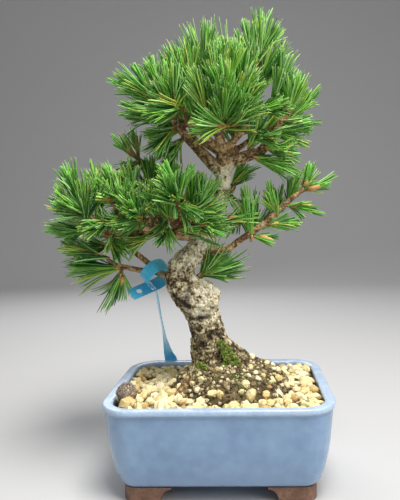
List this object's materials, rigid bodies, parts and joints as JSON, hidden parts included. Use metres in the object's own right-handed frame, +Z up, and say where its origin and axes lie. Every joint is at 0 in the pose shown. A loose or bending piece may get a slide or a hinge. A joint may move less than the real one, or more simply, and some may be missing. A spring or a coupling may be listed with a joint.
{
  "type": "bonsai tree in a pot",
  "caption": "Pine bonsai with a bent, burred trunk and tufts of needles, in a footed rectangular glazed pot with pumice stones and a loop label.",
  "frame": {"origin": "middle of the whole outline seen from above, on the ground under the feet", "axes": "+Z up, X along the pot's long side with +X to the right seen from the front, -Y towards the front, where the low branch's label hangs on the left"},
  "size_m": [0.2534, 0.1658, 0.3854],
  "materials": {
    "glaze": "gloss",
    "bare_clay": "matte",
    "screen_plastic": "matte",
    "wire": "satin",
    "bark": "matte",
    "soil": "matte",
    "mound_grit": "matte",
    "pumice": "matte",
    "moss": "matte",
    "compost": "matte",
    "needles": "satin",
    "label_plastic": "gloss"
  },
  "bodies": {
    "root": {"pot_body": "glaze", "pot_foot_front_left": "bare_clay", "pot_foot_front_right": "bare_clay", "pot_foot_back_left": "bare_clay", "pot_foot_back_right": "bare_clay", "drain_screen_left": "screen_plastic", "drain_screen_right": "screen_plastic", "screen_wire_left": "wire", "screen_wire_right": "wire", "trunk_and_branches": "bark", "potting_soil": "soil", "root_mound": "mound_grit", "gravel_top_dressing": "pumice", "moss_at_trunk": "moss", "moss_front": "moss", "moss_right": "moss", "fertiliser_cake": "compost", "crown_shoot_left_tip": "needles", "crown_shoot_left_low": "needles", "crown_shoot_left_under": "needles", "crown_shoot_left_front": "needles", "crown_shoot_left_back": "needles", "crown_shoot_left_top": "needles", "crown_shoot_top": "needles", "crown_shoot_peak": "needles", "crown_shoot_top_middle": "needles", "crown_shoot_right_top": "needles", "crown_shoot_right_tip": "needles", "crown_shoot_right_low": "needles", "crown_shoot_right_under": "needles", "crown_shoot_right_front": "needles", "crown_shoot_front": "needles", "crown_shoot_front_low": "needles", "crown_shoot_front_left": "needles", "crown_shoot_back": "needles", "crown_shoot_right_back": "needles", "crown_shoot_top_back": "needles", "pad_shoot_far_left": "needles", "pad_shoot_far_left_low": "needles", "pad_shoot_left_up": "needles", "pad_shoot_left_front": "needles", "pad_shoot_low_tip": "needles", "pad_shoot_low_fork": "needles", "pad_shoot_hanging": "needles", "pad_shoot_middle_up": "needles", "pad_shoot_middle_front": "needles", "pad_shoot_middle_under": "needles", "pad_shoot_right_up": "needles", "pad_shoot_right_front": "needles", "pad_shoot_back": "needles", "pad_shoot_left_back": "needles", "pad_shoot_high": "needles", "right_shoot_tip": "needles", "right_shoot_above": "needles", "right_shoot_fan": "needles", "right_shoot_behind": "needles", "trunk_sprout": "needles", "plant_label": "label_plastic"}
  },
  "joints": []
}
